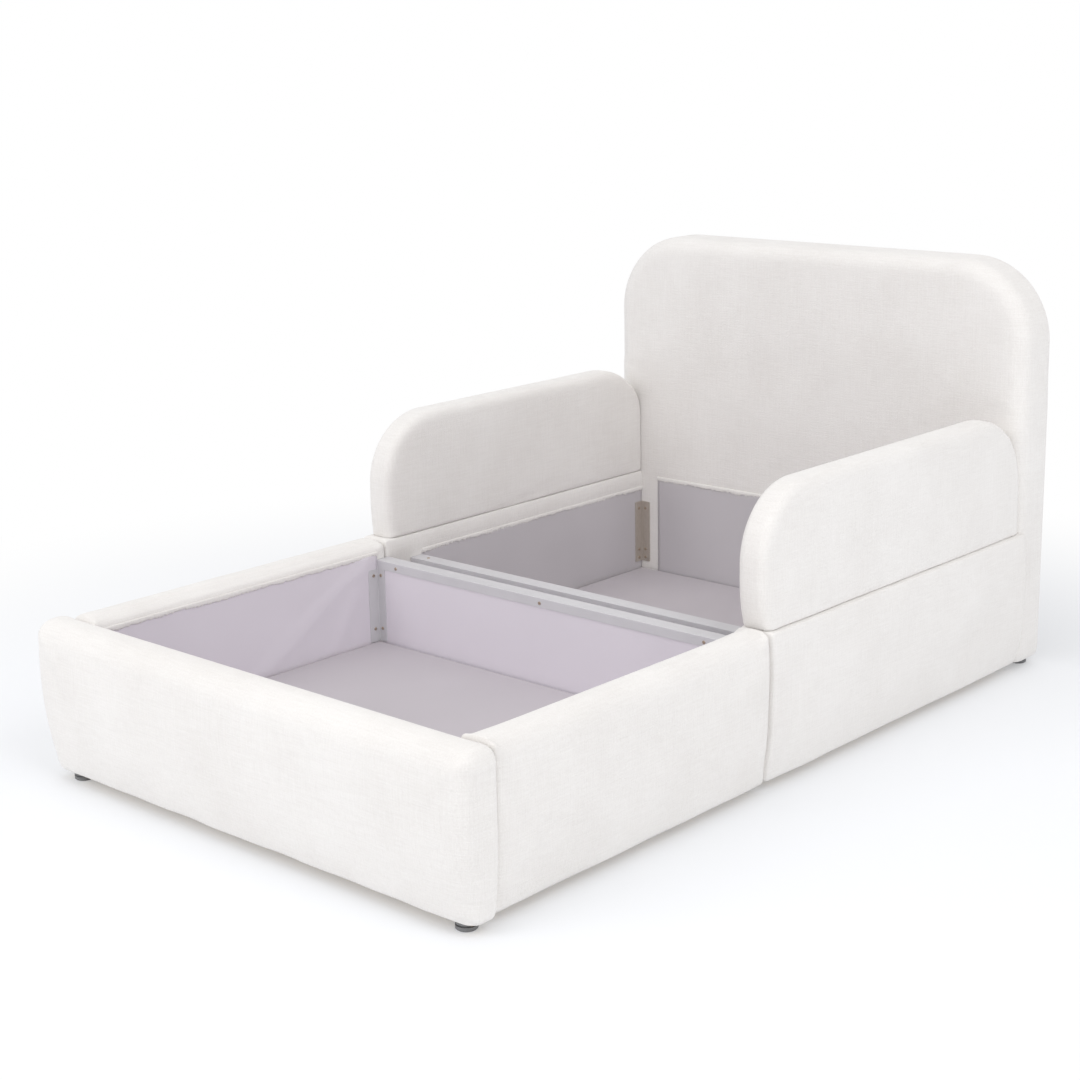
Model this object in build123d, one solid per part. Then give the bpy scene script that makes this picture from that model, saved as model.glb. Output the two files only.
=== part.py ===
from build123d import *
import os

# Storage bed: two open upholstered boxes in a row, a headboard and two lift-off guard rails.
# Millimetres. X runs across the bed, Y from footboard to headboard, Z up, the floor at Z 0.

# Mattress that the bed takes, and the room left round it
mattress_width = 1200.0
mattress_length = 2000.0
side_room = 5.0
end_room = 22.0

# Upholstered panels: depth outwards from the storage space
side_depth = 96.0
side_depth_top = 92.0
side_depth_foot = 80.0
footboard_depth = 102.0
footboard_depth_top = 96.0
footboard_depth_foot = 70.0
footboard_overhang = 15.0
headboard_depth = 145.0
headboard_width = 1390.0
guard_depth = 86.0
guard_depth_top = 77.0

# Heights above the floor
glide_height = 26.0
bulge_height = 275.0
side_height = 403.0
footboard_height = 405.0
seam_height = 393.0
guard_height = 725.0
headboard_height = 1117.0
foot_floor_height = 120.0
head_floor_height = 85.0
foot_rail_height = 348.0
head_rail_height = 328.0
foot_lining_height = 364.0
head_lining_height = 339.0
headboard_lining_height = 376.0

# Roundness of the padding
side_top_round = 44.0
side_foot_round = 18.0
side_end_round = 16.0
seam_round = 14.0
footboard_front_round = 54.0
footboard_back_round = 38.0
footboard_foot_round = 24.0
footboard_end_round = 22.0
headboard_corner_round = 225.0
headboard_front_round = 44.0
headboard_back_round = 24.0
guard_corner_round = 185.0
guard_edge_round = 26.0
guard_seam_round = 7.0

# How far soft ends wrap round the headboard's front edge, and the gap that a guard rail keeps
side_wrap = 36.0
guard_wrap = 15.0
guard_end_gap = 2.0

# Timber inside the padding
core_thickness = 55.0
core_skin = 3.0
core_top_padding = 28.0
core_end_padding = 20.0
footboard_core_end_padding = 34.0
headboard_core_thickness = 38.0
headboard_core_edge = 30.0
base_board_thickness = 22.0
guard_core_thickness = 22.0
guard_core_edge = 40.0
guard_core_base_padding = 20.0
cloth = 1.2

# The two boxes, and the divider boards that close them
foot_box_length = 938.0
foot_rail_setback = 19.0
head_rail_setback = 108.5
divider_thickness = 40.0
beam_height = 35.0

# Floor boards and the battens under them
floor_thickness = 9.0
floor_gap = 6.0
batten_size = 25.0
bearer_width = 40.0
bearers_per_box = 2
seat_gap = 0.3

# Steel rails, angles and corner brackets
rail_wall = 2.0
rail_drop = 25.0
angle_width = 28.0
angle_depth = 35.0
bracket_wall = 2.5
bracket_flange = 33.0
bracket_length = 190.0
bracket_lift = 22.0
fold_round_outside = 1.8
fold_round_inside = 1.2
flange_corner_round = 3.0

# Screws, and where they stand
screw_head_radius = 4.5
screw_head_height = 1.6
screw_head_round = 1.2
screw_recess_length = 5.0
screw_recess_width = 1.1
screw_recess_depth = 0.9
screw_radius = 1.75
screw_length = 14.0
hole_clearance = 0.1
rail_screw_spacing = 518.0
rail_screw_shift = -14.0
rail_screw_drop = 14.0
rail_screw_edge = 47.0
angle_screw_drop = 17.0
angle_screw_rise = 37.0
bracket_screw_rises = (12.0, 38.0, 169.0)

# Guard rails lift off: steel pins in steel bushes
pin_radius = 5.0
pin_length = 130.0
pin_depth = 55.0
pin_from_end = 220.0
pin_clearance = 0.3
bush_wall = 3.0
bush_length = 82.0

# Glides and their studs
glide_radius = 23.5
glide_neck_radius = 19.0
glide_foot_radius = 21.0
glide_rim_height = 10.0
glide_neck_height = 14.0
glide_foot_height = 2.5
front_glide_from_end = 76.0
rear_glide_from_end = 54.0
rear_glide_setback = 28.0
middle_glide_spread = 320.0
stud_radius = 3.0
stud_length = 50.0
stud_in_glide = 22.0

# Worked out from the sizes above
inner_half = mattress_width / 2 + side_room
face_half = inner_half + cloth
inner_length = mattress_length + 2 * end_room
overall_length = footboard_depth + inner_length + headboard_depth
foot_face = -overall_length / 2 + footboard_depth
head_face = foot_face + inner_length
joint = foot_face + foot_box_length
foot_rail_face = joint - foot_rail_setback
foot_divider_face = foot_rail_face + rail_wall
foot_divider_back = foot_divider_face + divider_thickness
head_rail_face = joint + head_rail_setback
head_divider_face = head_rail_face + rail_wall
head_divider_back = head_divider_face + divider_thickness
footboard_half = face_half + side_depth + footboard_overhang
core_inner = face_half + core_skin
core_height = seam_height - core_top_padding
headboard_core_back = headboard_depth - cloth
headboard_core_front = headboard_core_back - headboard_core_thickness
guard_base = seam_height + seat_gap
guard_centre = inner_half + guard_depth / 2
bush_radius = pin_radius + pin_clearance + bush_wall
foot_batten_top = foot_floor_height - floor_thickness - seat_gap
head_batten_top = head_floor_height - floor_thickness - seat_gap


def block(x, y, z):
    """A box between two limits on each axis."""
    size = Box(x[1] - x[0], y[1] - y[0], z[1] - z[0])
    return Pos((x[0] + x[1]) / 2, (y[0] + y[1]) / 2, (z[0] + z[1]) / 2) * size


def rounded(outline, corners):
    """An outline with each of the given corners rounded to its own radius."""
    for (along, up), radius in corners:
        corner = outline.vertices().sort_by_distance(Vector(along, up, 0))[0]
        outline = fillet(corner, radius)
    return outline


def padded_section(depth_foot, depth, depth_top, height):
    """A panel's section: flat inside, bulging outside and drawn in at the foot."""
    foot = (depth_foot, glide_height)
    top = (depth_top, height)
    edges = [
        Line((0, glide_height), (0, height)),
        Line((0, height), top),
        ThreePointArc(top, (depth, bulge_height), foot),
        Line(foot, (0, glide_height)),
    ]
    return make_face(Curve() + edges)


def side_section(height):
    """A side panel's section up to a height, still with sharp corners."""
    return padded_section(side_depth_foot, side_depth, side_depth_top, height)


def soft_ends(solid, axis, radius):
    """A padded panel with the edges of its two ends rounded."""
    for face in (0, -1):
        solid = fillet(solid.faces().sort_by(axis)[face].edges(), radius)
    return solid


def side_panel(section, start, end):
    """A side section carried along the bed, with its two ends rounded."""
    plane = Plane(origin=(face_half, end, 0), x_dir=(1, 0, 0), z_dir=(0, -1, 0))
    return soft_ends(extrude(plane * section, end - start), Axis.Y, side_end_round)


def foot_side_padding():
    """Side of the foot box: foam and fabric, domed over the top."""
    section = rounded(
        side_section(side_height),
        [
            ((0, side_height), side_top_round),
            ((side_depth_top, side_height), side_top_round),
            ((side_depth_foot, glide_height), side_foot_round),
        ],
    )
    return side_panel(section, foot_face, joint) - side_core(foot_face, joint)


def head_side_padding():
    """Side of the head box: the same panel, ending flat where the guard rail sits."""
    section = rounded(
        side_section(seam_height),
        [
            ((side_depth_top, seam_height), seam_round),
            ((side_depth_foot, glide_height), side_foot_round),
        ],
    )
    solid = side_panel(section, joint, head_face + side_wrap) - headboard_seat(0)
    return solid - side_core(joint, head_face) - pin_holes(bush_radius)


def side_core(start, end):
    """Timber frame of a side panel, open to the floor."""
    return block(
        (core_inner, core_inner + core_thickness),
        (start + core_end_padding, end - core_end_padding),
        (glide_height, core_height),
    )


def headboard_seat(gap):
    """The room that the headboard's front half takes beside a panel, with a gap round it."""
    edge = headboard_width / 2 - headboard_front_round
    depth = (head_face - gap, head_face + headboard_depth)
    heights = (0, headboard_height - headboard_corner_round)
    corner = Cylinder(headboard_front_round + gap, heights[1])
    centre = Pos(edge, head_face + headboard_front_round, heights[1] / 2)
    return block((0, edge), depth, heights) + centre * corner


def pin_places():
    """Where a guard rail's two pins stand along the bed."""
    return (joint + pin_from_end, head_face - pin_from_end)


def pin_holes(radius):
    """Two round holes down from the seam, one for each pin."""
    centre = seam_height - bush_length / 2
    holes = [Pos(guard_centre, y, centre) * Cylinder(radius, bush_length) for y in pin_places()]
    return Part() + holes


def guard_bushes():
    """Steel bushes that a guard rail's pins drop into."""
    return pin_holes(bush_radius) - pin_holes(pin_radius + pin_clearance)


def guard_pins():
    """Two steel pins fixed in a guard rail's board."""
    centre = guard_base - pin_depth + pin_length / 2
    pins = [Pos(guard_centre, y, centre) * Cylinder(pin_radius, pin_length) for y in pin_places()]
    return Part() + pins


def guard_solid(edge, end, base, inner, outer_base, outer_top):
    """A guard rail's shape: round top corners from the side, leaning in a little outside."""
    start, top = joint + edge, guard_height - edge
    outline = make_face(Polyline((start, base), (start, top), (end, top), (end, base), close=True))
    corner = guard_corner_round - edge
    outline = rounded(outline, [((start, top), corner), ((end, top), corner)])
    side_view = Plane(origin=(inner, 0, 0), x_dir=(0, 1, 0), z_dir=(1, 0, 0))
    solid = extrude(side_view * outline, outer_base - inner)
    lean = make_face(
        Polyline((inner, base), (inner, top), (outer_top, top), (outer_base, base), close=True)
    )
    end_view = Plane(origin=(0, end, 0), x_dir=(1, 0, 0), z_dir=(0, -1, 0))
    return solid & extrude(end_view * lean, end - start)


def guard_core():
    """Board inside a guard rail, bored for its pins."""
    inner = guard_centre - guard_core_thickness / 2
    outer = guard_centre + guard_core_thickness / 2
    base = guard_base + guard_core_base_padding
    end = head_face - guard_end_gap - guard_core_edge
    return guard_solid(guard_core_edge, end, base, inner, outer, outer) - guard_pins()


def guard_padding():
    """Foam and fabric round a guard rail, pinched at the seam and pressed against the headboard."""
    sunk = guard_base - 2 * guard_edge_round
    outer_base = inner_half + guard_depth
    outer_top = inner_half + guard_depth_top
    end = head_face - guard_end_gap + guard_wrap
    solid = guard_solid(0, end, sunk, inner_half, outer_base, outer_top)
    for face in (0, -1):
        solid = fillet(solid.faces().sort_by(Axis.X)[face].edges(), guard_edge_round)
    solid -= block((0, overall_length), (-overall_length, overall_length), (0, guard_base))
    solid = fillet(solid.faces().sort_by(Axis.Z)[0].edges(), guard_seam_round)
    return solid - headboard_seat(guard_end_gap) - guard_core() - guard_pins()


def footboard_core():
    """Timber frame of the footboard."""
    half = footboard_half - footboard_core_end_padding
    front = foot_face - core_skin - core_thickness
    return block((-half, half), (front, foot_face - core_skin), (glide_height, core_height))


def footboard_padding():
    """Foam and fabric of the footboard, bulging forwards and domed over the top."""
    section = rounded(
        padded_section(
            footboard_depth_foot, footboard_depth, footboard_depth_top, footboard_height
        ),
        [
            ((0, footboard_height), footboard_back_round),
            ((footboard_depth_top, footboard_height), footboard_front_round),
            ((footboard_depth_foot, glide_height), footboard_foot_round),
        ],
    )
    plane = Plane(origin=(footboard_half, foot_face, 0), x_dir=(0, -1, 0), z_dir=(-1, 0, 0))
    solid = extrude(plane * section, 2 * footboard_half)
    return soft_ends(solid, Axis.X, footboard_end_round) - footboard_core()


def headboard_solid(edge, front, back):
    """The headboard's outline with an edge width left off, between two depths."""
    half, top = headboard_width / 2 - edge, headboard_height - edge
    base = glide_height
    outline = make_face(Polyline((-half, base), (-half, top), (half, top), (half, base), close=True))
    corner = headboard_corner_round - edge
    outline = rounded(outline, [((-half, top), corner), ((half, top), corner)])
    plane = Plane(origin=(0, head_face + back, 0), x_dir=(1, 0, 0), z_dir=(0, -1, 0))
    return extrude(plane * outline, back - front)


def headboard_core():
    """Timber panel at the back of the headboard."""
    return headboard_solid(headboard_core_edge, headboard_core_front, headboard_core_back)


def headboard_base_board():
    """Timber board low in the headboard, which the corner brackets are screwed to."""
    half = headboard_width / 2 - headboard_core_edge
    front = head_face + core_skin
    return block((-half, half), (front, front + base_board_thickness), (glide_height, core_height))


def headboard_back_cloth():
    """Dust cloth stapled over the back of the headboard."""
    return headboard_solid(headboard_core_edge, headboard_core_back, headboard_depth)


def headboard_padding():
    """Foam and fabric of the headboard, with soft edges."""
    solid = headboard_solid(0, 0, headboard_depth)
    for face, radius in ((0, headboard_front_round), (-1, headboard_back_round)):
        rim = solid.faces().sort_by(Axis.Y)[face].edges()
        solid = fillet([edge for edge in rim if edge.center().Z > glide_height + 1], radius)
    board = headboard_solid(headboard_core_edge, headboard_core_front, headboard_depth)
    return solid - board - headboard_base_board()


def foot_side_lining():
    """Cloth lining on the inside of the foot box's side."""
    return block(
        (inner_half, face_half),
        (foot_face + cloth, foot_divider_face),
        (foot_batten_top, foot_lining_height),
    )


def footboard_lining():
    """Cloth lining on the inside of the footboard."""
    return block(
        (-face_half, face_half),
        (foot_face, foot_face + cloth),
        (foot_batten_top, foot_lining_height),
    )


def head_side_lining():
    """Cloth lining on the inside of the head box's side, behind the corner bracket."""
    return block(
        (inner_half, face_half),
        (head_divider_back, head_face),
        (head_batten_top, head_lining_height),
    )


def headboard_lining():
    """Cloth lining on the low part of the headboard."""
    half = face_half - 2 * bracket_flange
    return block(
        (-half, half), (head_face - cloth, head_face), (head_batten_top, headboard_lining_height)
    )


def divider_board(face, rail_height):
    """A divider board that closes a box, under its rail."""
    return block(
        (-face_half, face_half),
        (face, face + divider_thickness),
        (glide_height, rail_height - rail_wall),
    )


def middle_beam():
    """Timber between the two dividers, which ties them together over the middle glides."""
    return block(
        (-face_half, face_half),
        (foot_divider_back, head_divider_face),
        (glide_height, glide_height + beam_height),
    )


def folded(solid, fold, radius):
    """Sheet steel with the edge through a point rounded as a fold."""
    return fillet(solid.edges().sort_by_distance(fold)[0], radius)


def divider_rail(face, height):
    """Steel angle over a divider board: one flange on top, one on the face towards the foot."""
    back = face + rail_wall + divider_thickness
    top = block((-inner_half, inner_half), (face, back), (height - rail_wall, height))
    front = block((-inner_half, inner_half), (face, face + rail_wall), (height - rail_drop, height))
    return folded(top + front, (0, face, height), fold_round_outside)


def upright_angle(side_plane, end_plane, towards, wall, flanges, rise):
    """Steel angle standing in a corner, one flange on the end plane and one on the side."""
    middle = (rise[0] + rise[1]) / 2
    on_end, on_side = flanges
    end_flange = block(
        (side_plane - on_end, side_plane), sorted((end_plane, end_plane + towards * wall)), rise
    )
    side_flange = block(
        (side_plane - wall, side_plane), sorted((end_plane, end_plane + towards * on_side)), rise
    )
    solid = end_flange + side_flange
    outside = (side_plane, end_plane, middle)
    inside = (side_plane - wall, end_plane + towards * wall, middle)
    solid = folded(solid, outside, fold_round_outside)
    solid = folded(solid, inside, fold_round_inside)
    solid = fillet(solid.edges().filter_by(Axis.Y).sort_by(Axis.X)[:2], flange_corner_round)
    free = solid.edges().filter_by(Axis.X).sort_by(Axis.Y, reverse=towards > 0)[:2]
    return fillet(free, flange_corner_round)


def screw_places(side_plane, end_plane, towards, wall, flanges, heights):
    """Planes on both flanges of an upright angle, facing away from its screws' tips."""
    on_end, on_side = flanges
    places = []
    for z in heights:
        at_end = (side_plane - on_end / 2, end_plane + towards * wall, z)
        at_side = (side_plane - wall, end_plane + towards * on_side / 2, z)
        places.append(Plane(origin=at_end, z_dir=(0, towards, 0)))
        places.append(Plane(origin=at_side, z_dir=(-1, 0, 0)))
    return places


def front_screw_places():
    """Three screws through the front of the foot box's rail."""
    height = foot_rail_height - rail_screw_drop
    return [
        Plane(
            origin=(rail_screw_shift + step * rail_screw_spacing, foot_rail_face, height),
            z_dir=(0, -1, 0),
        )
        for step in (-1, 0, 1)
    ]


def top_screw_places():
    """Two screws down through the head box's rail."""
    across = inner_half - rail_screw_edge
    along = head_divider_face + divider_thickness / 2
    return [Plane(origin=(x, along, head_rail_height)) for x in (-across, across)]


def screws(places):
    """A round-headed screw with a cross recess on each plane, its tip behind the plane."""
    head = Pos(0, 0, screw_head_height / 2) * Cylinder(screw_head_radius, screw_head_height)
    head = fillet(head.edges().sort_by(Axis.Z)[-1], screw_head_round)
    floor = Pos(0, 0, screw_head_height - screw_recess_depth / 2)
    head -= floor * Box(screw_recess_length, screw_recess_width, screw_recess_depth)
    head -= floor * Box(screw_recess_width, screw_recess_length, screw_recess_depth)
    shank = Pos(0, 0, -screw_length / 2) * Cylinder(screw_radius, screw_length)
    return [place * (head + shank) for place in places]


def drilled(solid, places):
    """A solid with a clearance hole for the screw on each plane."""
    depth = screw_length + hole_clearance
    hole = Pos(0, 0, -depth / 2) * Cylinder(screw_radius + hole_clearance, depth)
    for place in places:
        solid -= place * hole
    return solid


def glide_places():
    """Centre of each glide, by name: under the footboard, the middle beam and the headboard."""
    front = foot_face - core_skin - core_thickness / 2
    middle = (foot_divider_back + head_divider_face) / 2
    rear = head_face + headboard_depth - rear_glide_setback
    return {
        "front": (footboard_half - front_glide_from_end, front),
        "middle": (middle_glide_spread, middle),
        "rear": (headboard_width / 2 - rear_glide_from_end, rear),
    }


def glide(x, y):
    """A two-tier plastic glide with a hole for its stud."""
    profile = make_face(
        Polyline(
            (0, 0),
            (glide_foot_radius, 0),
            (glide_radius, glide_foot_height),
            (glide_radius, glide_rim_height),
            (glide_neck_radius, glide_rim_height),
            (glide_neck_radius, glide_neck_height),
            (glide_radius, glide_neck_height),
            (glide_radius, glide_height),
            (0, glide_height),
            close=True,
        )
    )
    return Pos(x, y, 0) * revolve(Plane.XZ * profile, Axis.Z) - stud(x, y)


def stud(x, y):
    """Steel stud from a glide up into the timber above it."""
    centre = glide_height - stud_in_glide + stud_length / 2
    return Pos(x, y, centre) * Cylinder(stud_radius, stud_length)


def studs():
    """All the glides' studs, left and right."""
    return [stud(side * x, y) for x, y in glide_places().values() for side in (-1, 1)]


def side_batten(start, end, top):
    """Timber batten along a side, under the floor board's edge."""
    return block((face_half - batten_size, face_half), (start, end), (top - batten_size, top))


def bearers(start, end, top):
    """Timber bearers across a box, evenly spaced between the side battens."""
    half = face_half - batten_size
    spacing = (end - start) / (bearers_per_box + 1)
    made = []
    for number in range(1, bearers_per_box + 1):
        y = start + number * spacing
        along = (y - bearer_width / 2, y + bearer_width / 2)
        made.append(block((-half, half), along, (top - batten_size, top)))
    return made


def floor_board(start, end, height):
    """Loose board on the floor of a box, with a gap all round so that it lifts out."""
    half = inner_half - floor_gap
    return block((-half, half), (start, end), (height - floor_thickness, height))


def both_sides(solids):
    """The right-hand solids and their mirror images."""
    return solids + [mirror(solid, about=Plane.YZ) for solid in solids]


def save(name, shape):
    """Write one piece, or one group of separate pieces, to its own file."""
    solids = shape if isinstance(shape, list) else shape.solids()
    export_step(Compound(list(solids)), f"parts/{name}.step")


def save_pair(name, solid):
    """Write a right-hand piece and its left-hand mirror image."""
    save(name + "_right", solid)
    save(name + "_left", mirror(solid, about=Plane.YZ))


def main():
    os.makedirs("parts", exist_ok=True)

    angle_flanges = (angle_width, angle_depth)
    bracket_flanges = (bracket_flange, bracket_flange)
    foot_angle_rise = (foot_floor_height + seat_gap, foot_rail_height - rail_drop)
    head_angle_rise = (head_floor_height + seat_gap, head_rail_height - rail_drop)
    foot_bracket_base = foot_floor_height + bracket_lift
    head_bracket_base = head_floor_height + bracket_lift

    foot_angle = (inner_half, foot_divider_face, -1, rail_wall, angle_flanges)
    head_angle = (inner_half, head_divider_back, 1, rail_wall, angle_flanges)
    foot_bracket = (inner_half, foot_face + cloth, 1, bracket_wall, bracket_flanges)
    head_bracket = (inner_half, head_face, -1, bracket_wall, bracket_flanges)

    def angle_heights(rise):
        return (rise[0] + angle_screw_rise, rise[1] - angle_screw_drop)

    def bracket_heights(base):
        return [base + rise for rise in bracket_screw_rises]

    foot_angle_places = screw_places(*foot_angle, angle_heights(foot_angle_rise))
    head_angle_places = screw_places(*head_angle, angle_heights(head_angle_rise))
    foot_bracket_places = screw_places(*foot_bracket, bracket_heights(foot_bracket_base))
    head_bracket_places = screw_places(*head_bracket, bracket_heights(head_bracket_base))
    foot_places = foot_angle_places + foot_bracket_places
    head_places = head_angle_places + head_bracket_places

    def drilled_both_sides(solid, places):
        half = drilled(solid, places)
        return mirror(drilled(mirror(half, about=Plane.YZ), places), about=Plane.YZ)

    # Foot box
    save_pair("foot_side_core", drilled(side_core(foot_face, joint), foot_places))
    save_pair("foot_side_padding", drilled(foot_side_padding(), foot_places))
    save_pair("foot_side_lining", drilled(foot_side_lining(), foot_places))
    board = footboard_core()
    for hole in studs():
        board -= hole
    save("footboard_core", drilled_both_sides(board, foot_bracket_places))
    save("footboard_padding", drilled_both_sides(footboard_padding(), foot_bracket_places))
    save("footboard_lining", drilled_both_sides(footboard_lining(), foot_bracket_places))

    # Head box
    save_pair(
        "head_side_core",
        drilled(side_core(joint, head_face) - pin_holes(bush_radius), head_places),
    )
    save_pair("head_side_padding", drilled(head_side_padding(), head_places))
    save_pair("head_side_lining", drilled(head_side_lining(), head_places))
    save_pair("guard_bushes", guard_bushes())

    # Headboard
    board = headboard_core()
    for hole in studs():
        board -= hole
    save("headboard_core", board)
    save("headboard_base_board", drilled_both_sides(headboard_base_board(), head_bracket_places))
    save("headboard_padding", drilled_both_sides(headboard_padding(), head_bracket_places))
    save("headboard_lining", headboard_lining())
    save("headboard_back_cloth", headboard_back_cloth())

    # Guard rails
    save_pair("guard_core", guard_core())
    save_pair("guard_padding", guard_padding())
    save_pair("guard_pins", guard_pins())

    # Dividers, their rails and the beam between them
    board = drilled(divider_board(foot_divider_face, foot_rail_height), front_screw_places())
    save("foot_divider_board", drilled_both_sides(board, foot_angle_places))
    board = drilled(divider_board(head_divider_face, head_rail_height), top_screw_places())
    save("head_divider_board", drilled_both_sides(board, head_angle_places))
    save(
        "foot_divider_rail",
        drilled(divider_rail(foot_rail_face, foot_rail_height), front_screw_places()),
    )
    save(
        "head_divider_rail",
        drilled(divider_rail(head_rail_face, head_rail_height), top_screw_places()),
    )
    beam = middle_beam()
    for hole in studs():
        beam -= hole
    save("middle_beam", beam)

    # Steel angles and corner brackets
    save_pair(
        "foot_divider_angle", drilled(upright_angle(*foot_angle, foot_angle_rise), foot_angle_places)
    )
    save_pair(
        "head_divider_angle", drilled(upright_angle(*head_angle, head_angle_rise), head_angle_places)
    )
    rise = (foot_bracket_base, foot_bracket_base + bracket_length)
    save_pair(
        "foot_corner_bracket", drilled(upright_angle(*foot_bracket, rise), foot_bracket_places)
    )
    rise = (head_bracket_base, head_bracket_base + bracket_length)
    save_pair(
        "head_corner_bracket", drilled(upright_angle(*head_bracket, rise), head_bracket_places)
    )

    # Floor boards, side battens and bearers
    foot_box = (foot_face, foot_divider_face)
    head_box = (head_divider_back, head_face)
    save_pair("foot_side_batten", side_batten(*foot_box, foot_batten_top))
    save_pair("head_side_batten", side_batten(*head_box, head_batten_top))
    save("foot_floor_bearers", bearers(*foot_box, foot_batten_top))
    save("head_floor_bearers", bearers(*head_box, head_batten_top))
    save(
        "foot_floor_board",
        floor_board(
            foot_face + cloth + floor_gap, foot_divider_face - floor_gap, foot_floor_height
        ),
    )
    save(
        "head_floor_board",
        floor_board(head_divider_back + floor_gap, head_face - floor_gap, head_floor_height),
    )

    # Screws
    save("rail_screws", screws(front_screw_places() + top_screw_places()))
    save("divider_angle_screws", both_sides(screws(foot_angle_places + head_angle_places)))
    save("corner_bracket_screws", both_sides(screws(foot_bracket_places + head_bracket_places)))

    # Glides
    for name, (x, y) in glide_places().items():
        save_pair("glide_" + name, glide(x, y))
    save("glide_studs", studs())


main()
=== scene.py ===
"""The storage bed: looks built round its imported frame. Metres, +Z up, footboard towards -Y."""

import math

import bpy
import numpy as np
from mathutils import Matrix, Vector


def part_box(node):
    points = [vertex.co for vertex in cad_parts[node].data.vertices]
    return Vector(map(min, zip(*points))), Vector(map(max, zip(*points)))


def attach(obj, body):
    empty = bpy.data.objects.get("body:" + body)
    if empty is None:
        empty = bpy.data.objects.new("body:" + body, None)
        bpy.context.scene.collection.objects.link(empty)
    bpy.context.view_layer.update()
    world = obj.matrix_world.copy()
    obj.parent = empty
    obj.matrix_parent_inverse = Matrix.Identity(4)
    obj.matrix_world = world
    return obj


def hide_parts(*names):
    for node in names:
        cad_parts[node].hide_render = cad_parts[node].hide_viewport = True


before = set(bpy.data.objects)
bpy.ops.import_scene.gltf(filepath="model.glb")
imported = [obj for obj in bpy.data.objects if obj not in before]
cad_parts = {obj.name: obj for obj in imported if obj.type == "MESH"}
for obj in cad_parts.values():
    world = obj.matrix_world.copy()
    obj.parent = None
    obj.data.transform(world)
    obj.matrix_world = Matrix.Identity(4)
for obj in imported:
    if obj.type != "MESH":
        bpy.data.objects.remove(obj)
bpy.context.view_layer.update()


# Timber: frames inside the panels, battens and bearers under the floors, the middle beam.
# Raw pine, with its grain along each piece. The covers and the floor boards hide it.


class Number:
    """A value that varies over a surface: a shader socket that takes part in sums."""

    def __init__(self, paint, socket):
        self.paint = paint
        self.socket = socket

    def maths(self, operation, *values):
        return self.paint.node("ShaderNodeMath", {"operation": operation}, dict(enumerate(values)))

    def __add__(self, other):
        return self.maths("ADD", self, other)

    def __mul__(self, other):
        return self.maths("MULTIPLY", self, other)

    def __radd__(self, other):
        return self.maths("ADD", other, self)

    def __rmul__(self, other):
        return self.maths("MULTIPLY", other, self)

    def step(self, low, high):
        """0 below low, 1 above high, and smooth between."""
        inputs = {"Value": self, "From Min": low, "From Max": high}
        return self.paint.node("ShaderNodeMapRange", {"interpolation_type": "SMOOTHSTEP"}, inputs)


class Paint:
    """Shader nodes written as expressions. Their owner is a new material, or a new world."""

    def __init__(self, name, library=bpy.data.materials):
        self.owner = library.new(name)
        self.owner.use_nodes = True
        self.tree = self.owner.node_tree

    def feed(self, socket, value):
        if isinstance(value, Number):
            self.tree.links.new(value.socket, socket)
        else:
            socket.default_value = value

    def node(self, kind, settings, inputs, output=0):
        """Any node: its type, settings, values and links by input, and the output wanted."""
        made = self.tree.nodes.new(kind)
        for setting, value in settings.items():
            setattr(made, setting, value)
        for place, value in inputs.items():
            self.feed(made.inputs[place], value)
        return Number(self, made.outputs[output])

    def noise(self, stretch, detail=2.0, roughness=0.5):
        """Smooth noise from 0 to 1 with so many lumps per metre along each axis of the bed."""
        point = self.node("ShaderNodeTexCoord", {}, {}, "Object")
        scaled = self.node(
            "ShaderNodeVectorMath", {"operation": "MULTIPLY"}, {0: point, 1: stretch}
        )
        inputs = {"Vector": scaled, "Scale": 1.0, "Detail": detail, "Roughness": roughness}
        return self.node("ShaderNodeTexNoise", {}, inputs)

    def mix(self, low, high, amount):
        """A colour between two others."""
        return self.node(
            "ShaderNodeMix", {"data_type": "RGBA"}, {0: amount, 6: (*low, 1), 7: (*high, 1)}, 2
        )

    def bump(self, height, depth):
        """The normal of a relief whose height goes from 0 to 1, and so many metres deep."""
        return self.node("ShaderNodeBump", {}, {"Height": height, "Distance": depth}, "Normal")

    def surface(self, values):
        """Constants and varying values for the surface shader, by the names of its inputs."""
        for name, value in values.items():
            self.feed(self.tree.nodes["Principled BSDF"].inputs[name], value)
        return self.owner


def dress(material, *names):
    """CAD nodes that keep their shape get a better material."""
    for name in names:
        for material_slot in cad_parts[name].material_slots:
            material_slot.material = material


def pine(name, stretch):
    """Sawn pine: bands of early and late wood stretched along the grain, and fine fibres."""
    early, late = (0.62, 0.43, 0.24), (0.78, 0.62, 0.40)
    paint = Paint(name)
    rings = paint.noise(stretch, 3.0)
    bands = paint.node("ShaderNodeMath", {"operation": "PINGPONG"}, {0: rings * 9.0, 1: 1.0})
    fibres = paint.noise(tuple(9 * value for value in stretch), 3.0, 0.7)
    return paint.surface(
        {
            "Base Color": paint.mix(early, late, bands * 0.7 + fibres * 0.3),
            "Roughness": 0.62 + fibres * 0.2,
            "Normal": paint.bump(fibres, 0.0006),
        }
    )


pine_along = pine("pine_along", (34.0, 1.6, 34.0))
pine_across = pine("pine_across", (1.6, 34.0, 34.0))
for side in ("left", "right"):
    dress(pine_along, f"foot_side_core_{side}", f"head_side_core_{side}", f"guard_core_{side}")
    dress(pine_along, f"foot_side_batten_{side}", f"head_side_batten_{side}")
dress(pine_across, "footboard_core", "headboard_core", "headboard_base_board")
dress(pine_across, "foot_floor_bearers", "head_floor_bearers", "middle_beam")


# Glides under the corners and the middle beam: moulded dark grey plastic, lightly scuffed,
# on zinc-plated studs.

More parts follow.
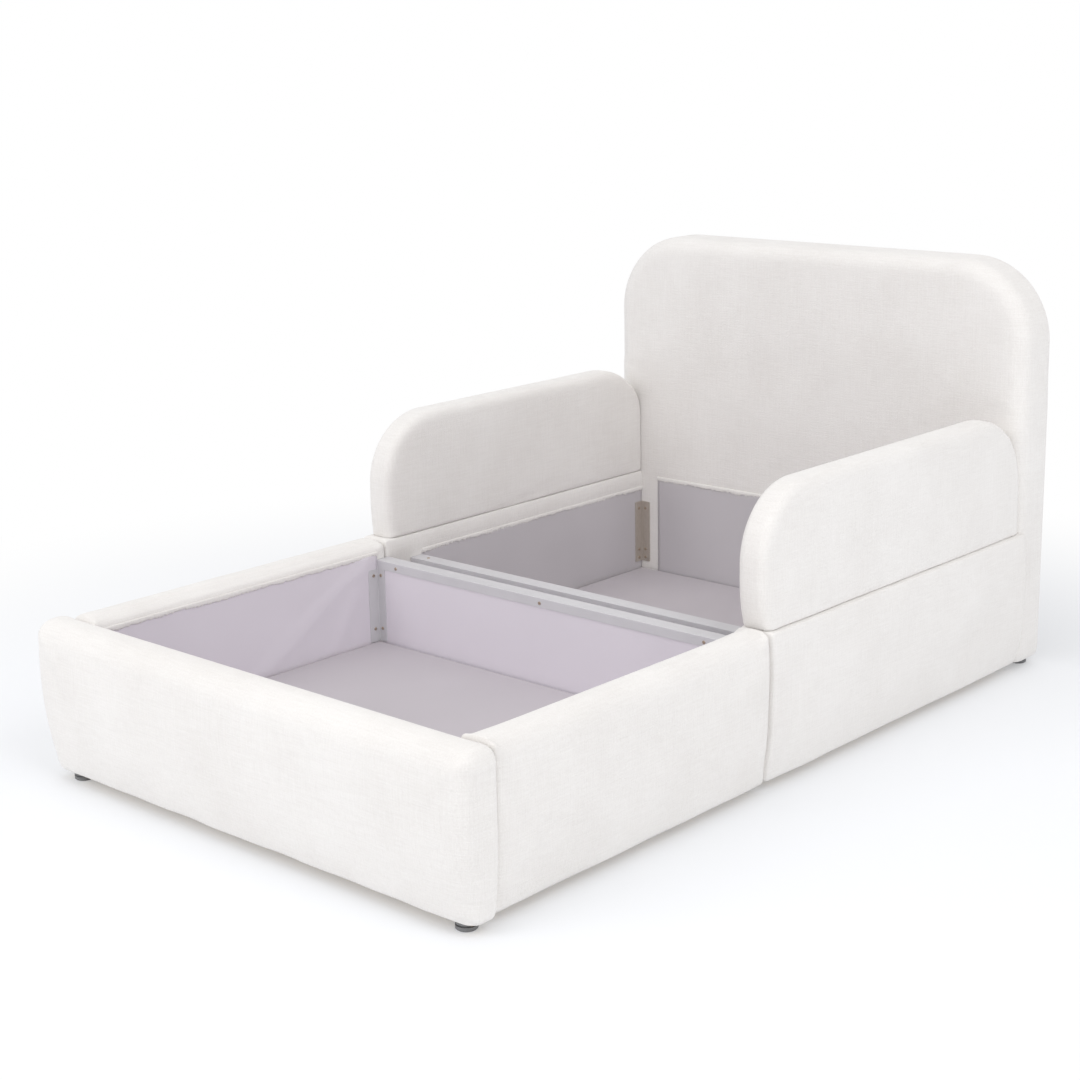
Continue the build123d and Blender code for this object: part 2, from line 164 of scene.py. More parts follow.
plastic = Paint("moulded_plastic")
grain = plastic.noise((900.0, 900.0, 900.0), 2.0)
scuffs = plastic.noise((60.0, 60.0, 240.0), 4.0, 0.7).step(0.5, 0.75)
moulded = plastic.surface(
    {
        "Base Color": plastic.mix((0.20, 0.20, 0.205), (0.34, 0.34, 0.345), scuffs * 0.6),
        "Roughness": 0.42 + scuffs * 0.25,
        "Normal": plastic.bump(grain, 0.0003),
    }
)
for place in ("front", "middle", "rear"):
    dress(moulded, f"glide_{place}_left", f"glide_{place}_right")

zinc = Paint("zinc")
spangle = zinc.noise((160.0, 160.0, 60.0), 3.0, 0.6)
scratches = zinc.noise((1400.0, 1400.0, 30.0), 2.0)
plated = zinc.surface(
    {
        "Base Color": zinc.mix((0.54, 0.49, 0.44), (0.60, 0.55, 0.50), spangle.step(0.3, 0.7)),
        "Metallic": 0.6,
        "Roughness": 0.30 + spangle * 0.15 + scratches * 0.08,
        "Normal": zinc.bump(scratches, 0.00015),
    }
)
dress(plated, "glide_studs")


# Steel rails over the dividers, and the upright angles under them: bent sheet with a satin pale
# grey paint and a faint orange peel. The corner brackets, and the guard rails' pins and bushes,
# are zinc-plated like the studs. The screws are browned steel.

paint = Paint("painted_steel")
peel = paint.noise((420.0, 420.0, 420.0), 1.0)
cloud = paint.noise((9.0, 9.0, 9.0), 3.0)
painted = paint.surface(
    {
        "Base Color": paint.mix((0.56, 0.55, 0.57), (0.64, 0.63, 0.65), cloud),
        "Roughness": 0.33 + cloud * 0.12,
        "Normal": paint.bump(peel, 0.00012),
    }
)
dress(painted, "foot_divider_rail", "head_divider_rail")
for side in ("left", "right"):
    dress(painted, f"foot_divider_angle_{side}", f"head_divider_angle_{side}")
    dress(plated, f"foot_corner_bracket_{side}", f"head_corner_bracket_{side}")
    dress(plated, f"guard_bushes_{side}", f"guard_pins_{side}")

bronze = Paint("screw_steel")
wear = bronze.noise((900.0, 900.0, 900.0), 2.0)
browned = bronze.surface(
    {
        "Base Color": bronze.mix((0.38, 0.29, 0.22), (0.55, 0.46, 0.38), wear.step(0.35, 0.65)),
        "Metallic": 0.7,
        "Roughness": 0.28 + wear * 0.2,
    }
)
dress(browned, "rail_screws", "divider_angle_screws", "corner_bracket_screws")


# Divider boards and floor boards: fibreboard covered in the same lilac-grey cloth as the lining.
# The cloth is bonded fibre: a fine felt with a faint grid of pressed dots.


def bonded_cloth(name, dark, light):
    """Bonded cloth: random fibres, soft clouds, and small pressed dots in a nearly even grid."""
    dots_per_metre = 420.0
    paint = Paint(name)
    fibres = paint.noise((1500.0, 1500.0, 1500.0), 4.0, 0.7)
    cloud = paint.noise((3.2, 3.2, 3.2), 2.0)
    point = paint.node("ShaderNodeTexCoord", {}, {}, "Object")
    dots = paint.node(
        "ShaderNodeTexVoronoi",
        {"feature": "F1"},
        {"Vector": point, "Scale": dots_per_metre, "Randomness": 0.15},
        "Distance",
    ).step(0.15, 0.5)
    shade = cloud * 0.75 + fibres * 0.25
    return paint.surface(
        {
            "Base Color": paint.mix(dark, light, shade),
            "Roughness": 0.62 + fibres * 0.2,
            "Normal": paint.bump(dots * 0.6 + fibres * 0.4, 0.00035),
            "Sheen Weight": 0.15,
            "Sheen Roughness": 0.5,
        }
    )


lilac = bonded_cloth("lilac_cloth", (0.67, 0.63, 0.68), (0.77, 0.725, 0.78))
grey = bonded_cloth("grey_cloth", (0.48, 0.445, 0.47), (0.56, 0.52, 0.55))
dress(lilac, "foot_divider_board", "head_divider_board")
dress(grey, "foot_floor_board", "head_floor_board")


# Cloth linings on the inside of both boxes. Each is a thin sheet that hangs a little loose:
# it stands off its panel in long soft folds, and its top edge wanders.


def grid_faces(rows, columns):
    """Quads of a grid of points, row by row."""
    first = (np.arange(rows - 1)[:, None] * columns + np.arange(columns - 1)).ravel()
    return np.stack([first, first + 1, first + columns + 1, first + columns], axis=1)


def thin_sheet(front, back, rows, columns):
    """The points and quads of a closed sheet, from the grids of its two faces."""
    count = rows * columns
    rim = np.concatenate(
        [
            np.arange(columns),
            np.arange(1, rows) * columns + columns - 1,
            (rows - 1) * columns + np.arange(columns - 2, -1, -1),
            np.arange(rows - 2, 0, -1) * columns,
        ]
    )
    after = np.roll(rim, -1)
    band = np.stack([after, rim, rim + count, after + count], axis=1)
    faces = grid_faces(rows, columns)
    return np.concatenate([front, back]), np.concatenate([faces, faces[:, ::-1] + count, band])


def new_piece(name, points, faces, body, material, slot):
    """A closed surface of numpy points and quads that rides on a body. Its quads are turned over
    where the sum of the volumes between them and the origin comes out negative."""
    a, b, c, d = (points[faces[:, corner]] for corner in range(4))
    if np.sum(a * (np.cross(b, c) + np.cross(c, d))) < 0:
        faces = faces[:, ::-1]
    mesh = bpy.data.meshes.new(name)
    mesh.from_pydata(points.tolist(), [], faces.tolist())
    mesh.materials.append(material)
    mesh.shade_smooth()
    made = bpy.data.objects.new(name, mesh)
    bpy.context.collection.objects.link(made)
    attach(made, body)
    return made


def ripples(points, size, seed):
    """Gentle unevenness from -1 to 1: 14 sine waves in random directions, each about so long."""
    chance = np.random.default_rng(seed)
    total = np.zeros(len(points))
    for _ in range(14):
        way = chance.normal(size=3)
        way /= np.linalg.norm(way)
        wave = 2 * math.pi / (size * chance.uniform(0.7, 1.6))
        total += np.sin(points @ way * wave + chance.uniform(0, 2 * math.pi))
    return total / 5.3


def lining(node, across, inward, fold, cloth, seed):
    """A sheet in place of a lining node. across is its long axis, 0 or 1, and inward the side of
    it that the box is on, -1 or 1. It stands off the panel by fold(along, up), with both from 0
    to 1, times a factor that dies away to its two ends and its foot."""
    low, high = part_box(node)
    off = 1 - across
    columns, rows = 96, 36
    wander, wander_length = 0.0016, 0.11
    fixed_end, fixed_foot = 0.05, 0.10
    along, up = np.meshgrid(np.linspace(0, 1, columns), np.linspace(0, 1, rows))
    along, up = along.ravel(), up.ravel()
    face, wall = (low[off], high[off]) if inward < 0 else (high[off], low[off])
    points = np.zeros((len(along), 3))
    points[:, across] = low[across] + along * (high[across] - low[across])
    points[:, 2] = low[2] + up * (high[2] - low[2])
    edge = np.clip(up * 6 - 5, 0, 1) ** 2
    points[:, 2] += edge * wander * ripples(points * (1, 1, 0), wander_length, seed)
    loose = np.clip(np.minimum(along, 1 - along) / fixed_end, 0, 1)
    loose *= np.clip(up / fixed_foot, 0, 1)
    points[:, off] = face + inward * fold(along, up) * loose
    back = points.copy()
    back[:, off] = wall
    made = new_piece(
        node + "_cloth", *thin_sheet(points, back, rows, columns), "frame", cloth, "lining"
    )
    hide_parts(node)


def pulled_corner(along, up):
    """The foot box's side: one fold runs down from the top rear corner, like a ridge with a
    normal curve for its section, and the cloth before it bellies out a little."""
    ridge = np.exp(-(((along - 0.52 - 0.46 * up) / 0.055) ** 2))
    second = np.exp(-(((along - 0.80 - 0.17 * up) / 0.035) ** 2))
    belly = np.sin(math.pi * np.clip(along / 0.85, 0, 1)) * np.sin(math.pi * up) ** 0.7
    return 0.0030 * ridge + 0.0016 * second + 0.0014 * belly


def slight_waves(along, up):
    """Shallow upright waves, strongest near the top edge: a sine along the sheet."""
    return 0.0011 * (1 + np.sin(along * 17.0 + up * 1.4)) * (0.3 + 0.7 * up)


# The head box's linings are a darker copy of the lilac cloth: painted shade for the shade that the
# guard rails and the headboard cast into that box.
lining_painted_shade = bonded_cloth("lining_cloth_painted_shade", (0.51, 0.485, 0.505), (0.60, 0.575, 0.595))
linings = (
    ("foot_side_lining_left", 1, 1, pulled_corner, lilac),
    ("foot_side_lining_right", 1, -1, pulled_corner, lilac),
    ("footboard_lining", 0, 1, slight_waves, lilac),
    ("head_side_lining_left", 1, 1, slight_waves, lining_painted_shade),
    ("head_side_lining_right", 1, -1, slight_waves, lining_painted_shade),
    ("headboard_lining", 0, -1, slight_waves, lining_painted_shade),
)
for seed, values in enumerate(linings, 11):
    lining(*values, seed)


# Covers of the side panels: a short off-white pile fabric over foam, on the timber frames. The
# foot box's sides are domed over the top. The head box's sides end in a flat seam that the guard
# rails stand on, and their rear ends wrap round the headboard's soft front edge.


def pile_fabric():
    """Short pile on a slubby weave: streaks along and across the cloth, clumps, and fine fibres."""
    valley, crest = (0.765, 0.735, 0.705), (0.89, 0.87, 0.845)
    paint = Paint("pile_fabric")
    level = paint.noise((16.0, 16.0, 330.0), 2.0)
    upright = paint.noise((330.0, 330.0, 16.0), 2.0)
    clumps = paint.noise((260.0, 260.0, 260.0), 3.0, 0.6)
    fibres = paint.noise((1300.0, 1300.0, 1300.0), 3.0, 0.7)
    cloud = paint.noise((5.0, 5.0, 5.0), 2.0)
    slubs = level * 0.5 + upright * 0.5
    shade = slubs * 0.45 + clumps * 0.25 + cloud * 0.3
    return paint.surface(
        {
            "Base Color": paint.mix(valley, crest, shade.step(0.2, 0.75)),
            "Roughness": 0.88 + fibres * 0.1,
            "Normal": paint.bump(slubs * 0.45 + clumps * 0.35 + fibres * 0.2, 0.0022),
            "Sheen Weight": 0.35,
            "Sheen Roughness": 0.55,
            "Specular IOR Level": 0.15,
        }
    )


def places(low, high, step, tight=()):
    """Places from low to high about a step apart, with closer ones beside each tight place."""
    beside = np.array([-0.006, -0.0015, 0.0015, 0.006])
    cleared = 0.009
    even = np.linspace(low, high, max(4, round((high - low) / step) + 1))
    for spot in tight:
        near = spot + beside
        near = near[(near > low) & (near < high)]
        even = np.append(even[np.abs(even - spot) > cleared], near)
    return np.unique(np.append(even, (low, high)))


def box_surface(u, v, w):
    """Points and quads of the surface of a box that is cut at the given places on each axis."""
    cuts = (u, v, w)
    quads = []
    for axis in range(3):
        first, second = (axis + 1) % 3, (axis + 2) % 3
        i, j = np.meshgrid(
            np.arange(len(cuts[first]) - 1), np.arange(len(cuts[second]) - 1), indexing="ij"
        )
        for end in (0, len(cuts[axis]) - 1):
            turns = [(0, 0), (1, 0), (1, 1), (0, 1)]
            corners = np.zeros((4, i.size, 3), int)
            for number, (di, dj) in enumerate(turns if end else turns[::-1]):
                corners[number, :, axis] = end
                corners[number, :, first] = i.ravel() + di
                corners[number, :, second] = j.ravel() + dj
            quads.append(corners.transpose(1, 0, 2))
    whole, which = np.unique(np.concatenate(quads).reshape(-1, 3), axis=0, return_inverse=True)
    points = np.stack([cut[whole[:, axis]] for axis, cut in enumerate(cuts)], axis=1)
    return points, which.reshape(-1, 4)


on_surface = 1e-6


def cushion(u_cuts, v_cuts, w_cuts, corners, back, front):
    """A rounded slab: u runs along it, either way from 0, v up, and w through it from 0.
    corners is the outline's radius at its low and high corners. back and front are the radii of
    the edges of those two faces, each at the slab's two ends, at its top and at its foot.
    Round a corner, a place at du, dv from the corner's centre keeps its direction, and its
    distance becomes the larger of the two. At an inset a from the outline, within the radius e of
    an edge, the face follows the edge's arc at an angle of 45 degrees * (1 - a / e), and at a
    depth b the side follows it at 45 degrees * (1 + b / e)."""
    points, faces = box_surface(u_cuts, v_cuts, w_cuts)
    u, v, w = points.T
    half, low, high, depth = u_cuts[-1], v_cuts[0], v_cuts[-1], w_cuts[-1]
    upper = v > (low + high) / 2
    radius = np.where(upper, corners[1], corners[0])
    rise = np.where(upper, 1.0, -1.0)
    centre = np.where(upper, high - corners[1], low + corners[0])
    du = np.maximum(np.abs(u) - (half - radius), 0)
    dv = np.maximum((v - centre) * rise, 0)
    far = np.maximum(np.hypot(du, dv), 1e-9)
    in_corner = (du > 0) & (dv > 0)
    square = np.maximum(du, dv)
    u = np.where(in_corner, np.sign(u) * (half - radius + du * square / far), u)
    v = np.where(in_corner, centre + rise * dv * square / far, v)
    to_end = half - np.abs(u)
    to_edge = np.minimum(high - v, v - low)
    inset = np.where(in_corner, radius - square, np.minimum(to_end, to_edge))
    nu = np.where(in_corner, du / far, to_end < to_edge) * np.sign(u)
    nv = np.where(in_corner, dv / far, to_end >= to_edge) * rise
    for radii, face in ((back, 0), (front, depth)):
        near_end, far_end, top, foot = radii
        edge = np.where(nu < 0, near_end, far_end) * nu**2
        edge += np.where(nv < 0, foot, top) * nv**2
        sink = np.abs(w - face)
        on_face = (sink < on_surface) & (inset < edge)
        on_side = (inset < on_surface) & (sink < edge) & ~on_face
        angle = np.where(on_face, 1 - inset / edge, 1 + sink / edge) * math.pi / 4
        pull = np.where(on_face | on_side, edge * (1 - np.sin(angle)) - inset, 0)
        u = u - nu * pull
        v = v - nv * pull
        drop = edge * (1 - np.cos(angle)) * np.sign(depth / 2 - face)
        w = np.where(on_face | on_side, face + drop, w)
    return np.stack([u, v, w], axis=1), faces


def tucked(points, base, sunk, middle, pinch):
    """Everything below the base is pressed flat into it, closing in on the middle depth. Just
    above it the cover is drawn in by pinch * (1 - sqrt(1 - q * q)), q falling from 1 to 0."""
    u, v, w = points.T
    under = np.clip((base - v) / sunk, 0, 1)
    q = np.clip(1 - (v - base) / (2.5 * pinch), 0, 1)
    drawn = pinch * (1 - np.sqrt(1 - q**2))
    w = middle + (w - middle) * (1 - drawn / np.abs(w - middle).max()) * (1 - 0.85 * under)
    u = u * (1 - drawn / np.abs(u).max())
    return np.stack([u, np.maximum(v, base), w], axis=1)


def parabola(height, *known):
    """The depth at each height on the parabola through three known (height, depth) points."""
    total = np.zeros_like(height)
    for place, (own, depth) in enumerate(known):
        others = [z for number, (z, _) in enumerate(known) if number != place]
        share = (height - others[0]) * (height - others[1])
        total += depth * share / ((own - others[0]) * (own - others[1]))
    return total


headboard_edge = 0.044


def beside_headboard(points, gap):
    """No point goes past the headboard's front face, its rounded edge or its end, with a gap.
    The edge is a quarter circle about a centre one radius in from both."""
    low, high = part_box("headboard_padding")
    edge = headboard_edge
    across = np.abs(points[:, 0]) - (high.x - edge)
    room = np.sqrt(np.maximum((edge + gap) ** 2 - np.clip(across, 0, None) ** 2, 0))
    limit = np.where(across > 0, low.y + edge - room, low.y - gap)
    points[:, 1] = np.where(across < edge + gap, np.minimum(points[:, 1], limit), points[:, 1])


def stuff(piece, held, most):
    """Cloth simulation of the cover over its foam: pressure from inside for 20 frames, with the
    held points fixed and no point moving further than most. The result is kept in the mesh."""
    frames = 20
    mesh = piece.data
    rest = np.empty(len(mesh.vertices) * 3)
    mesh.vertices.foreach_get("co", rest)
    group = piece.vertex_groups.new(name="held")
    group.add(np.nonzero(held)[0].tolist(), 1.0, "REPLACE")
    cloth = piece.modifiers.new("cover", "CLOTH")
    cloth.settings.quality = 4
    cloth.settings.mass = 0.3
    cloth.settings.use_pressure = True
    cloth.settings.uniform_pressure_force = 4.0
    cloth.settings.vertex_group_mass = "held"
    cloth.settings.effector_weights.gravity = 0.0
    cloth.point_cache.frame_start = 1
    cloth.point_cache.frame_end = frames
    for number in range(1, frames + 1):
        bpy.context.scene.frame_set(number)
    swollen = np.empty(len(rest))
    moved = piece.evaluated_get(bpy.context.evaluated_depsgraph_get())
    moved.data.vertices.foreach_get("co", swollen)
    shift = (swollen - rest).reshape(-1, 3)
    size = np.linalg.norm(shift, axis=1, keepdims=True)
    shift *= np.minimum(1, most / np.maximum(size, 1e-9))
    piece.modifiers.remove(cloth)
    piece.vertex_groups.remove(group)
    mesh.vertices.foreach_set("co", rest + shift.ravel())
    bpy.context.scene.frame_set(1)


def upholster(name, points, faces, body, held, most, node):
    """A padded piece in place of a CAD node: stuffed, then subdivided once."""
    made = new_piece(name, points, faces, body, fabric, "fabric_white")
    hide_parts(node)
    stuff(made, held, most)
    soften = made.modifiers.new("soften", "SUBSURF")
    soften.levels = soften.render_levels = 1


fabric = pile_fabric()
cell = 0.013
base_gap = 0.001
seam_gap = 0.0003
held_height, held_inside = 0.004, 0.010
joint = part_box("foot_side_padding_left")[1].y
joint_shift = {"left": 0.015, "right": -0.018}
dome_corner = {"left": 0.028, "right": 0.014}


def side_cover(box_end, side, sign):
    """A side panel's cover. Its inner face rolls out above the lining, like a half sine, and the
    head box's swells outside before the headboard, by the square of the nearness to its end."""
    sunk, pinch, middle = 0.030, 0.006, 0.045
    low_corner, head_corner = 0.030, 0.012
    foot_depth, full_depth, top_depth = 0.078, 0.0965, 0.092
    full_height = 0.262
    roll_depth, roll_reach, roll_start = 0.005, 0.020, 0.004
    unevenness, wave = 0.0014, 0.19
    flare_depth, flare_length = 0.007, 0.09
    held_from = 1.095
    node = f"{box_end}_side_padding_{side}"
    low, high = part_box(node)
    inner = min(abs(low.x), abs(high.x))
    depth = abs(high.x - low.x)
    domed = box_end == "foot"
    seam = joint + joint_shift[side]
    start, end = (low.y, seam) if domed else (seam, high.y - 0.002)
    base = low.z + base_gap
    half = (end - start) / 2 - seam_gap
    points, faces = cushion(
        places(-half, half, cell, (-half, half)),
        places(base - sunk, high.z, cell, (base,) if domed else (base, high.z)),
        places(0, depth, cell),
        (low_corner, dome_corner[side] if domed else head_corner),
        (0.008, 0.008, 0.044 if domed else 0.003, 0.006),
        (0.016, 0.016 if domed else 0.015, 0.044 if domed else 0.010, 0.016),
    )
    profile = parabola(
        np.clip(points[:, 1], base, high.z),
        (base, foot_depth),
        (full_height, full_depth),
        (high.z, top_depth),
    )
    points[:, 2] *= profile / depth
    points = tucked(points, base, sunk, middle, pinch)
    u, v, w = points.T
    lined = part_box(f"{box_end}_side_lining_{side}")[1].z - roll_start
    roll = np.sin(math.pi * np.clip((v - lined) / (high.z - lined), 0, 1)) ** 0.7
    roll *= np.clip(1 - w / roll_reach, 0, 1) * np.clip((half - np.abs(u)) / 0.02, 0, 1)
    across = sign * (inner + w - roll_depth * roll)
    placed = np.stack([across, u + (start + end) / 2, v], axis=1)
    outer = np.clip((w - 0.02) / 0.05, 0, 1)
    placed[:, 0] += sign * outer * unevenness * ripples(placed, wave, 21)
    if not domed:
        flare = np.clip(1 - (half - u) / flare_length, 0, 1) ** 2
        flare *= np.sin(math.pi * np.clip((v - base) / (high.z - base), 0, 1)) ** 0.6
        placed[:, 0] += sign * outer * flare_depth * flare
    beside_headboard(placed, seam_gap)
    held = (w < held_inside) | (v < base + held_height) | (placed[:, 1] > joint + held_from)
    held |= (not domed) & (v > high.z - held_height)
    name = f"{box_end}_side_cover_{side}"
    upholster(name, placed, faces, "frame", held, 0.004, node)


for side, sign in (("left", -1), ("right", 1)):
    side_cover("foot", side, sign)
    side_cover("head", side, sign)


# Footboard: one long cushion, fullest above half height, drawn in at its foot.

low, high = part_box("footboard_padding")
base, sunk = low.z + base_gap, 0.030
depth = high.y - low.y
half = high.x
foot_depth, full_height, top_depth = 0.072, 0.285, 0.098
unevenness, wave = 0.0016, 0.22
narrowing, narrow_top, narrow_height = 0.020, 0.20, 0.17
points, faces = cushion(
    places(-half, half, cell),
    places(base - sunk, high.z, cell, (base,)),
    places(0, depth, cell),
    (0.046, 0.040),
    (0.020, 0.020, 0.038, 0.006),
    (0.040, 0.040, 0.054, 0.020),
)
profile = parabola(
    np.clip(points[:, 1], base, high.z),
    (base, foot_depth),
    (full_height, depth),
    (high.z, top_depth),
)
points[:, 2] *= profile / depth
points = tucked(points, base, sunk, 0.040, 0.008)
u, v, w = points.T
narrow = 1 - narrowing * np.clip((narrow_top - v) / narrow_height, 0, 1) ** 1.5
placed = np.stack([u * narrow, high.y - w, v], axis=1)
outer = np.clip((w - 0.02) / 0.05, 0, 1)
placed[:, 1] -= outer * unevenness * ripples(placed, wave, 31)
held = (w < held_inside) | (v < base + held_height)
upholster("footboard_cover", placed, faces, "frame", held, 0.004, "footboard_padding")


# Headboard: a tall cushion with round upper corners. Its back is covered by a dark dust cloth
# inside a border of the pile fabric.

low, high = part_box("headboard_padding")
base, sunk = low.z + base_gap, 0.050
depth = high.y - low.y
half = high.x
coarse_cell = 0.0145
top_corner, low_corner = 0.225, 0.050
back_edge = 0.024
bulge, unevenness, wave = 0.001, 0.0012, 0.26
border, border_depth = 0.030, 0.003
guard_inside, guard_top = 0.59, 0.74
lining_top = 0.385
points, faces = cushion(
    places(-half, half, coarse_cell),
    places(base - sunk, high.z, coarse_cell, (base,)),
    places(0, depth, coarse_cell),
    (low_corner, top_corner),
    (back_edge, back_edge, back_edge, 0.008),
    (headboard_edge, headboard_edge, headboard_edge, 0.030),
)
points = tucked(points, base, sunk, depth / 2, 0.008)
u, v, w = points.T
full = np.clip(1 - (u / u.max()) ** 4, 0, 1) * np.clip((v - 0.40) / 0.15, 0, 1) ** 2
full *= np.clip((high.z - v) / 0.30, 0, 1)
front = w > depth - on_surface
w = np.where(front, w + bulge * full, w)
inside = np.clip((half - border - np.abs(u)) / 0.01, 0, 1)
inside *= np.clip((high.z - border - v) / 0.01, 0, 1)
w = np.where(w < on_surface, w + border_depth * inside, w)
placed = np.stack([u, high.y - w, v], axis=1)
free = np.clip(w / depth, 0, 1) ** 3 * np.clip((v - 0.38) / 0.10, 0, 1)
free *= np.clip((0.60 - np.abs(u)) / 0.05 + np.clip((v - guard_top) / 0.05, 0, 1), 0, 1)
placed[:, 1] -= free * unevenness * ripples(placed, wave, 41)
pressed = (np.abs(u) > guard_inside) & (v < guard_top)
held = (w < 0.006) | (v < lining_top) | pressed
upholster("headboard_cover", placed, faces, "frame", held, 0.002, "headboard_padding")

dust = Paint("dust_cloth")
weave = dust.noise((1200.0, 1200.0, 1200.0), 3.0, 0.7)
sag = dust.noise((4.0, 4.0, 4.0), 2.0)
dress(
    dust.surface(
        {
            "Base Color": dust.mix((0.016, 0.016, 0.018), (0.05, 0.05, 0.055), weave),
            "Roughness": 0.8 + weave * 0.15,
            "Normal": dust.bump(weave * 0.05 + sag, 0.012),
        }
    ),
    "headboard_back_cloth",
)


# Guard rails: rounded boards in the same fabric. They lean in a little outside, stand on the
# head box's sides and are pinched where they meet them.

guard_reach = {"left": 0.028, "right": -0.036}
guard_lag = {"left": 0.008, "right": 0.021}
top_corner, low_corner = 0.185, 0.020
lean, fullness = 0.10, 0.006
unevenness, wave = 0.0010, 0.18
guard_gap = 0.0020
held_from = 1.06
for side, sign in (("left", -1), ("right", 1)):
    node = f"guard_padding_{side}"
    low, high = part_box(node)
    inner = min(abs(low.x), abs(high.x))
    depth = abs(high.x - low.x)
    start, end = joint + guard_reach[side], high.y + 0.006
    base, sunk = low.z, 0.050
    half = (end - start) / 2
    points, faces = cushion(
        places(-half, half, cell),
        places(base - sunk, high.z, cell, (base,)),
        places(0, depth, cell),
        (low_corner, top_corner),
        (0.024, 0.008, 0.026, 0.005),
        (0.024, 0.020, 0.026, 0.008),
    )
    points[:, 2] *= 1 - lean * np.clip((points[:, 1] - base) / (high.z - base), 0, 1)
    points = tucked(points, base, sunk, depth / 2, 0.003)
    u, v, w = points.T
    up = np.clip((v - base) / (high.z - base), 0, 1)
    swell = (1 - (2 * up - 1) ** 4) * (1 - np.clip(u / half, -1, 1) ** 6) * (w / depth - 0.5)
    w = w + fullness * swell
    lag = np.clip(1 - (v - base) / 0.11, 0, 1) ** 2 * np.clip(-u / half * 10 - 9, 0, 1)
    along = u + guard_lag[side] * lag + (start + end) / 2
    placed = np.stack([sign * (inner + w), along, v], axis=1)
    outer = np.clip(w / depth, 0, 1)
    placed[:, 0] += sign * outer * unevenness * ripples(placed, wave, 51)
    beside_headboard(placed, guard_gap)
    held = (v < base + held_height) | (placed[:, 1] > joint + held_from)
    upholster(f"guard_cover_{side}", placed, faces, f"guard_{side}", held, 0.0015, node)


# Raw edges of the covers, where they turn over the linings' tops: cut pile fabric, frayed.


def raw_edge(node, across, inward, seed):
    """A thin strip over a lining's top edge. Its lower edge is ragged: the sum of random values
    at three spacings, each joined up by straight lines along the strip."""
    above, narrowest, ragged = 0.006, 0.005, 0.012
    thickest = 0.0034
    low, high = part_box(node)
    off = 1 - across
    length = high[across] - low[across]
    columns, rows = round(length / 0.0016), 5
    place = np.linspace(0, 1, columns)
    chance = np.random.default_rng(seed)
    rag = np.zeros(columns)
    for spacing, share in ((0.060, 0.35), (0.012, 0.30), (0.0032, 0.35)):
        knots = round(length / spacing)
        rag += share * np.interp(place, np.linspace(0, 1, knots), chance.random(knots))
    along, down = np.meshgrid(place, np.linspace(0, 1, rows))
    face, wall = (low[off], high[off]) if inward < 0 else (high[off], low[off])
    front = np.zeros((columns * rows, 3))
    front[:, across] = low[across] + along.ravel() * length
    front[:, 2] = high[2] + above - (down * (narrowest + ragged * rag)).ravel()
    front[:, off] = face + inward * thickest * np.sin(math.pi * (0.35 + 0.45 * down)).ravel()
    back = front.copy()
    back[:, off] = wall
    closed = thin_sheet(front, back, rows, columns)
    new_piece(node + "_raw_edge", *closed, "frame", fabric, "fabric_white")


for seed, (node, across, inward, _, _) in enumerate(linings, 61):
    raw_edge(node, across, inward, seed)


# Camera: where the photograph was taken from, worked out from the bed's own edges.

camera_data = bpy.data.cameras.new("camera")
camera = bpy.data.objects.new("camera", camera_data)
bpy.context.collection.objects.link(camera)
right = Vector((0.74075, 0.67151, -0.01908))
down = Vector((0.15089, -0.19399, -0.96933))
forward = Vector((-0.65462, 0.71515, -0.24502))
position = (3.2512, -3.6941, 1.7597)
turn = Matrix((right, -down, -forward)).transposed()
camera.matrix_world = Matrix.Translation(position) @ turn.to_4x4()
image = 1080
focal_length = 2012.93
centre_across, centre_down = 537.19, 524.67
camera_data.sensor_width = 36
camera_data.lens = focal_length * camera_data.sensor_width / image
camera_data.shift_x = (image / 2 - centre_across) / image
camera_data.shift_y = (centre_down - image / 2) / image
camera_data.clip_start = 0.1
camera_data.clip_end = 200
bpy.context.scene.camera = camera


# Studio: a pale floor that fades into white with distance, white all round, and soft lamps.

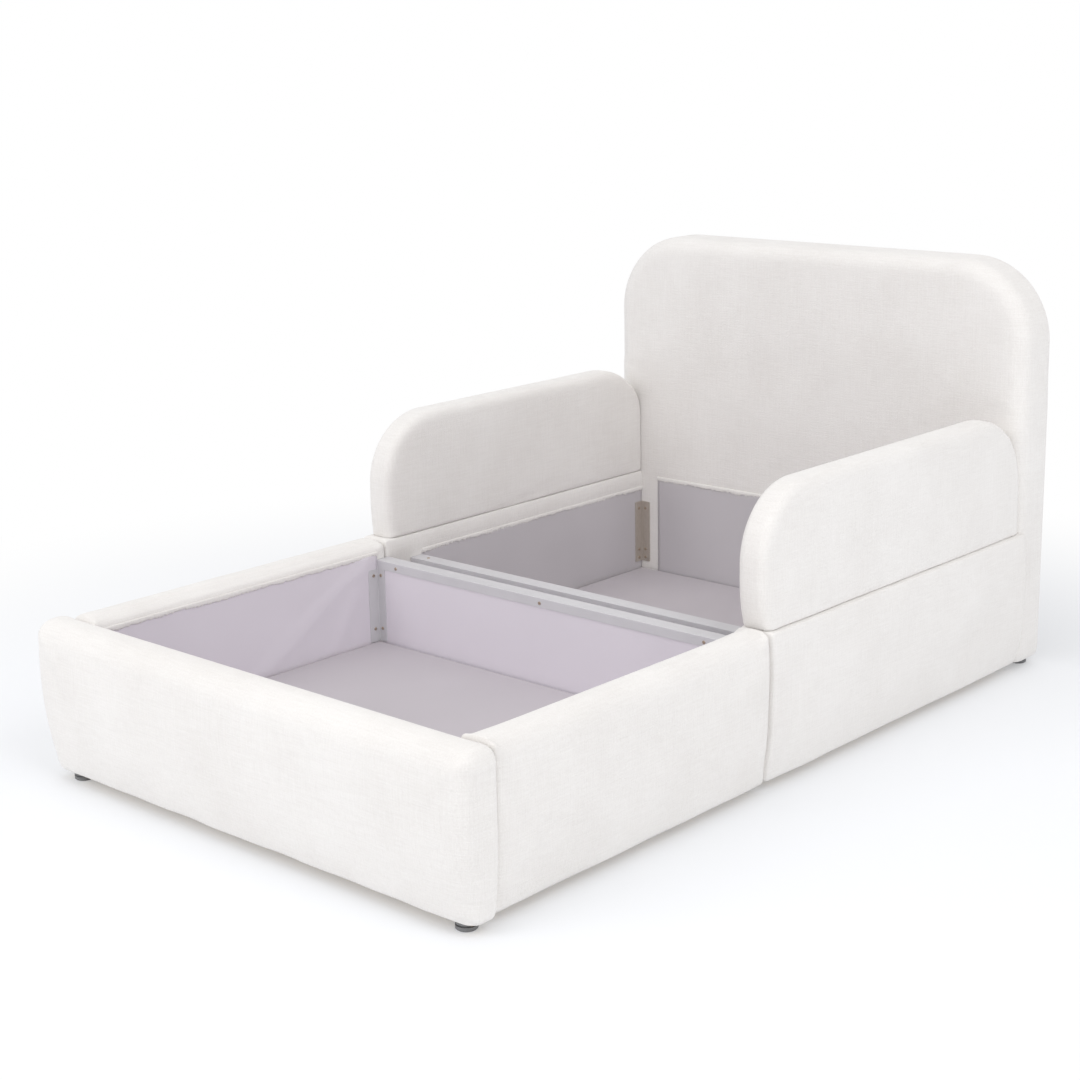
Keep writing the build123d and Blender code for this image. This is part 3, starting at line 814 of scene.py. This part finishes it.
floor_mesh = bpy.data.meshes.new("floor")
reach = 30.0
floor_mesh.from_pydata(
    [(-reach, -reach, 0), (reach, -reach, 0), (reach, reach, 0), (-reach, reach, 0)],
    [],
    [(0, 1, 2, 3)],
)
floor = bpy.data.objects.new("floor", floor_mesh)
bpy.context.collection.objects.link(floor)


def seen_directly(paint):
    """1 for what the camera sees, also in a mirror or through glass, and 0 for light on things."""
    rays = [
        paint.node("ShaderNodeLightPath", {}, {}, f"Is {kind} Ray")
        for kind in ("Camera", "Glossy", "Transmission")
    ]
    return rays[0] + rays[1] + rays[2]


matte = Paint("studio_floor")
matte.surface({"Base Color": (0.89, 0.905, 0.93, 1), "Roughness": 0.9, "Specular IOR Level": 0.1})
where = matte.node("ShaderNodeTexCoord", {}, {}, "Object")
distance = matte.node("ShaderNodeVectorMath", {"operation": "LENGTH"}, {0: where}, "Value")
lit = Number(matte, matte.tree.nodes["Principled BSDF"].outputs[0])
glow = matte.node("ShaderNodeEmission", {}, {"Color": (1, 1, 1, 1), "Strength": 1.0})
near_share = 0.30
share = (near_share + (1 - near_share) * distance.step(1.4, 2.8)) * seen_directly(matte)
shown = matte.node("ShaderNodeMixShader", {}, {0: share, 1: lit, 2: glow})
matte.feed(matte.tree.nodes["Material Output"].inputs["Surface"], shown)
floor_mesh.materials.append(matte.owner)

air = Paint("studio", bpy.data.worlds)
around = air.mix((0.80, 0.80, 0.81), (1, 1, 1), seen_directly(air))
air.feed(air.tree.nodes["Background"].inputs["Color"], around)
bpy.context.scene.world = air.owner


def soft_light(name, place, aim, size, power):
    """A square lamp that faces a point."""
    data = bpy.data.lights.new(name, "AREA")
    data.shape = "SQUARE"
    data.size = size
    data.energy = power
    made = bpy.data.objects.new(name, data)
    made.location = place
    made.rotation_euler = (Vector(aim) - Vector(place)).to_track_quat("-Z", "Y").to_euler()
    bpy.context.collection.objects.link(made)


soft_light("key", (-1.2, -5.4, 3.6), (0, 0, 0.4), 3.0, 84.0)
soft_light("side", (4.5, -1.5, 4.6), (0, 0, 0.3), 3.0, 92.0)
soft_light("top", (0, -0.6, 5.5), (0, -0.3, 0), 4.0, 8.0)

bpy.context.scene.view_settings.view_transform = "Standard"
